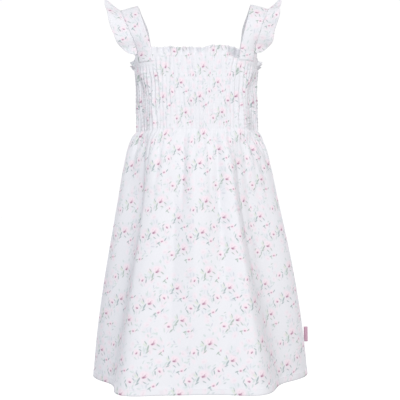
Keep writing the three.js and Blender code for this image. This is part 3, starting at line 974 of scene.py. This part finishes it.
def sprigGroup(name, plan, places):
    # one kind of sprig, painted over the cloth in every place of the repeat
    tree, takes, gives = newGroup(name + "Sprig", {"Cloth": "Vector", "Under": "Color"}, {"Painted": "Color"})
    place = addNode(tree, "ShaderNodeGroup", node_tree=places)
    tree.links.new(takes["Cloth"], place.inputs["Cloth"])
    place.inputs["Shift"].default_value = plan["shift"] + (0,)
    place.inputs["Size"].default_value = plan["place"] + (1,)
    pick = place.outputs["Pick"]
    rows = [dict(zip(chartColumns, row)) for row in plan["chart"]]
    # a ramp holds values from 0 to 1, so the chart's numbers are packed into it and unpacked after
    shifts = chartRamp(tree, pick, [(row["across"] / 20 + 0.5, row["up"] / 20 + 0.5, 0.5) for row in rows])
    turns = chartRamp(tree, pick, [(0.5, 0.5, row["turn"] / 360 + 0.5) for row in rows])
    scales = [(row["size"] * row["faces"] / 4 + 0.5, row["size"] / 4 + 0.5, 0.75) for row in rows]
    sizes = chartRamp(tree, pick, scales)
    leaves = chartRamp(tree, pick, [row["leaf"] for row in rows])
    shifts = addMath(tree, "MULTIPLY_ADD", shifts, (20, 20, 0), (-10, -10, 0))
    turns = addMath(tree, "MULTIPLY_ADD", turns, (0, 0, 2 * math.pi), (0, 0, -math.pi))
    sizes = addMath(tree, "MULTIPLY_ADD", sizes, (4, 4, 4), (-2, -2, -2))
    inputs = {"Vector": place.outputs["Local"], "Location": shifts, "Rotation": turns, "Scale": sizes}
    local = addNode(tree, "ShaderNodeMapping", inputs, vector_type="TEXTURE").outputs[0]
    colour = takes["Under"]
    for row in plan["strokes"]:
        colour = paintStroke(tree, local, colour, leaves, dict(zip(strokeColumns, row)))
    tree.links.new(colour, gives["Painted"])
    return tree


def paintStroke(tree, local, under, leaves, stroke):
    # one dab of the brush, an oval with a soft edge
    inputs = {
        "Vector": local,
        "Location": (stroke["across"], stroke["up"], 0),
        "Rotation": (0, 0, math.radians(stroke["turn"])),
        "Scale": (stroke["halfWidth"], stroke["halfLength"], 1),
    }
    spot = addNode(tree, "ShaderNodeMapping", inputs, vector_type="TEXTURE")
    reach = addMath(tree, "LENGTH", spot.outputs[0])
    inputs = {
        "Value": reach,
        "From Min": cotton["strokeFull"],
        "From Max": cotton["strokeEnd"],
        "To Min": stroke["strength"],
        "To Max": 0,
    }
    mask = addNode(tree, "ShaderNodeMapRange", inputs, interpolation_type="SMOOTHSTEP")
    paint = leaves if stroke["paint"] == "leaf" else paints[stroke["paint"]]
    mixed = addNode(tree, "ShaderNodeMix", {0: mask.outputs[0], 6: under, 7: paint}, data_type="RGBA")
    return mixed.outputs[2]


places = placeGroup()
sprigGroups = [sprigGroup(name, plan, places) for name, plan in sprigs.items()]


def inMillimetres(tree, point):
    scaled = addMath(tree, "SCALE", point)
    scaled.node.inputs["Scale"].default_value = 1000
    return scaled


def cottonMaterial(name, shows):
    # the printed side, or the reverse where the print only shows through
    material, tree, shader = emptyMaterial(name, cotton)
    cloth = inMillimetres(tree, addNode(tree, "ShaderNodeUVMap", uv_map="cut").outputs[0])
    inputs = {"Vector": cloth, "Scale": cotton["wobbleScale"], "Detail": 1}
    wobble = addNode(tree, "ShaderNodeTexNoise", inputs)
    shift = addMath(tree, "SUBTRACT", wobble.outputs["Color"], (0.5, 0.5, 0.5))
    reach = (cotton["wobble"], cotton["wobble"], 0)
    drawn = addMath(tree, "MULTIPLY_ADD", shift, reach, cloth)
    colour = cotton["ground"]
    for group in sprigGroups:
        sprig = addNode(tree, "ShaderNodeGroup", node_tree=group)
        tree.links.new(drawn, sprig.inputs["Cloth"])
        if isinstance(colour, tuple):
            sprig.inputs["Under"].default_value = colour
        else:
            tree.links.new(colour, sprig.inputs["Under"])
        colour = sprig.outputs["Painted"]
    if shows < 1:
        faded = addNode(tree, "ShaderNodeMix", {0: shows, 6: cotton["ground"], 7: colour}, data_type="RGBA")
        colour = faded.outputs[2]
    inputs = {}
    for index, pitch in enumerate(cotton["yarns"]):
        drawnOut = addMath(tree, "MULTIPLY", cloth, pitch)
        inputs[index] = addNode(tree, "ShaderNodeTexNoise", {"Vector": drawnOut, "Scale": 1}).outputs[0]
    woven = addNode(tree, "ShaderNodeMath", inputs, operation="ADD").outputs[0]
    lowest, highest = 1 - cotton["slub"], 1 + cotton["slub"]
    inputs = {"Value": woven, "From Min": 0.6, "From Max": 1.4, "To Min": lowest, "To Max": highest}
    slub = addNode(tree, "ShaderNodeMapRange", inputs).outputs[0]
    colour = addMath(tree, "MULTIPLY", colour, slub)
    tree.links.new(colour, shader.inputs["Base Color"])
    inputs = {"Height": woven, "Distance": cotton["yarnDepth"] * mm, "Strength": cotton["yarnStrength"]}
    bump = addNode(tree, "ShaderNodeBump", inputs)
    tree.links.new(bump.outputs[0], shader.inputs["Normal"])
    return material


ribbonLook = {
    "colour": tone(196, 158, 176),
    "deep": tone(184, 144, 164),
    "ribs": 2.2,
    "ribDepth": 0.06,
    "ribStrength": 0.5,
    "roughness": 0.42,
    "sheen": 0.25,
}


def ribbonMaterial():
    # plain satin ribbon with fine ribs across it and a little unevenness in its dye
    material, tree, shader = emptyMaterial("pinkRibbon", ribbonLook)
    cloth = inMillimetres(tree, addNode(tree, "ShaderNodeUVMap", uv_map="cut").outputs[0])
    inputs = {"Vector": cloth, "Scale": ribbonLook["ribs"]}
    ribs = addNode(tree, "ShaderNodeTexWave", inputs, bands_direction="Y").outputs[1]
    dye = addNode(tree, "ShaderNodeTexNoise", {"Vector": cloth, "Scale": 0.6, "Detail": 3})
    colour = chartRamp(tree, dye.outputs[0], [ribbonLook["deep"], ribbonLook["colour"]], "LINEAR")
    tree.links.new(colour, shader.inputs["Base Color"])
    depth, strength = ribbonLook["ribDepth"] * mm, ribbonLook["ribStrength"]
    bump = addNode(tree, "ShaderNodeBump", {"Height": ribs, "Distance": depth, "Strength": strength})
    tree.links.new(bump.outputs[0], shader.inputs["Normal"])
    return material


threadLook = {"colour": tone(229, 227, 232), "roughness": 0.6, "sheen": 0.2, "twist": 3, "twistDepth": 0.05}


def threadMaterial():
    material, tree, shader = emptyMaterial("whiteThread", threadLook)
    cloth = inMillimetres(tree, addNode(tree, "ShaderNodeTexCoord").outputs["Object"])
    twist = addNode(tree, "ShaderNodeTexNoise", {"Vector": cloth, "Scale": threadLook["twist"]})
    inputs = {"Height": twist.outputs[0], "Distance": threadLook["twistDepth"] * mm}
    tree.links.new(addNode(tree, "ShaderNodeBump", inputs).outputs[0], shader.inputs["Normal"])
    shader.inputs["Base Color"].default_value = threadLook["colour"]
    return material


printed = cottonMaterial("printedCotton", 1)
reverse = cottonMaterial("cottonReverse", cotton["showThrough"])
ribbon = ribbonMaterial()
thread = threadMaterial()
for name, piece in pieces.items():
    if name == "ribbonTag":
        piece.data.materials.append(ribbon)
    elif "ewing" in name:
        piece.data.materials.append(thread)
    else:
        piece.data.materials.append(printed)
        piece.data.materials.append(reverse)
        piece.modifiers["wall"].material_offset = 1
print("materials made")


# what each piece stands for
standsFor = {
    "frontPanel": "front_panel",
    "backPanel": "back_panel",
    "strapLeft": "strap_left",
    "strapRight": "strap_right",
    "ruffleLeft": "ruffle_left",
    "ruffleRight": "ruffle_right",
    "ribbonTag": "side_tag",
}
for name, piece in pieces.items():
    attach(piece, "root")
    if name in standsFor:
        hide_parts(standsFor[name])


# stage, light and camera
stage = {
    "floor": -1.25,
    "size": 40,
    "colour": (0.92, 0.92, 0.92, 1),
    "roughness": 0.9,
    "sheen": 0,
    "glow": 0.45,
}


def makeStage():
    material, _, shader = emptyMaterial("paleFloor", stage)
    shader.inputs["Base Color"].default_value = stage["colour"]
    shader.inputs["Emission Color"].default_value = (1, 1, 1, 1)
    shader.inputs["Emission Strength"].default_value = stage["glow"]
    bm = bmesh.new()
    bmesh.ops.create_grid(bm, x_segments=2, y_segments=2, size=stage["size"])
    bmesh.ops.translate(bm, verts=bm.verts, vec=(0, 0, stage["floor"]))
    floor = addPiece("paleFloor", bm)
    floor.data.materials.append(material)
    floor.visible_diffuse = False  # the world alone lights the cloth from below


def addLight(name, place, power):
    # a soft square lamp that faces the middle of the dress
    data = bpy.data.lights.new(name, "AREA")
    data.size = light["size"]
    data.energy = power
    lamp = bpy.data.objects.new(name, data)
    lamp.location = place
    lamp.rotation_euler = (Vector(light["aim"]) - Vector(place)).to_track_quat("-Z", "Y").to_euler()
    bpy.context.scene.collection.objects.link(lamp)


def makeWorld():
    # seen straight on the backdrop is white, and it lights the cloth a little less, cooler on one side
    world = bpy.data.worlds.new("paleStudio")
    world.use_nodes = True
    tree = world.node_tree
    tree.nodes.clear()
    direction = addNode(tree, "ShaderNodeTexCoord").outputs["Generated"]
    sideways = addNode(tree, "ShaderNodeSeparateXYZ", {0: direction}).outputs["X"]
    share = addNode(tree, "ShaderNodeMapRange", {"Value": sideways, "From Min": -1, "From Max": 1})
    tint = chartRamp(tree, share.outputs[0], light["tints"], "EASE")
    soft = addNode(tree, "ShaderNodeBackground", {"Color": tint, "Strength": light["dome"]})
    white = addNode(tree, "ShaderNodeBackground", {"Color": (1, 1, 1, 1), "Strength": light["backdrop"]})
    seen = addNode(tree, "ShaderNodeLightPath").outputs["Is Camera Ray"]
    both = addNode(tree, "ShaderNodeMixShader", {0: seen, 1: soft.outputs[0], 2: white.outputs[0]})
    addNode(tree, "ShaderNodeOutputWorld", {"Surface": both.outputs[0]})
    bpy.context.scene.world = world


light = {
    "dome": 0.757,
    "backdrop": 1.02,
    "tints": [(0.79, 0.8, 0.86), (1, 1, 0.995), (0.84, 0.82, 0.84)],
    "aim": (0, 0, -0.3),
    "size": 0.8,
    "frontPower": 30,
    "frontPlace": (0.15, -2.3, 0.7),
    "backPower": 14,
    "backPlaces": [(-1.45, 1.95, 0.25), (1.45, 1.95, 0.25)],
}
makeStage()
makeWorld()
addLight("frontSoft", light["frontPlace"], light["frontPower"])
for index, place in enumerate(light["backPlaces"]):
    addLight("backSoft" + str(index), place, light["backPower"])
bpy.context.scene.view_settings.view_transform = "Standard"

# the focal length and the frame in the photo's pixels, the sensor in mm and the roll in degrees
shot = {"place": (0.003, -1.08, -0.278), "focal": 745, "frame": 400, "sensor": 36, "roll": -0.7}
cameraData = bpy.data.cameras.new("camera")
cameraData.sensor_width = shot["sensor"]
cameraData.lens = shot["focal"] / shot["frame"] * cameraData.sensor_width
camera = bpy.data.objects.new("camera", cameraData)
lean = Matrix.Rotation(math.radians(shot["roll"]), 4, "Z")
camera.matrix_world = Matrix.Translation(shot["place"]) @ Matrix.Rotation(math.pi / 2, 4, "X") @ lean
bpy.context.scene.collection.objects.link(camera)
bpy.context.scene.camera = camera
print("stage, light and camera made")
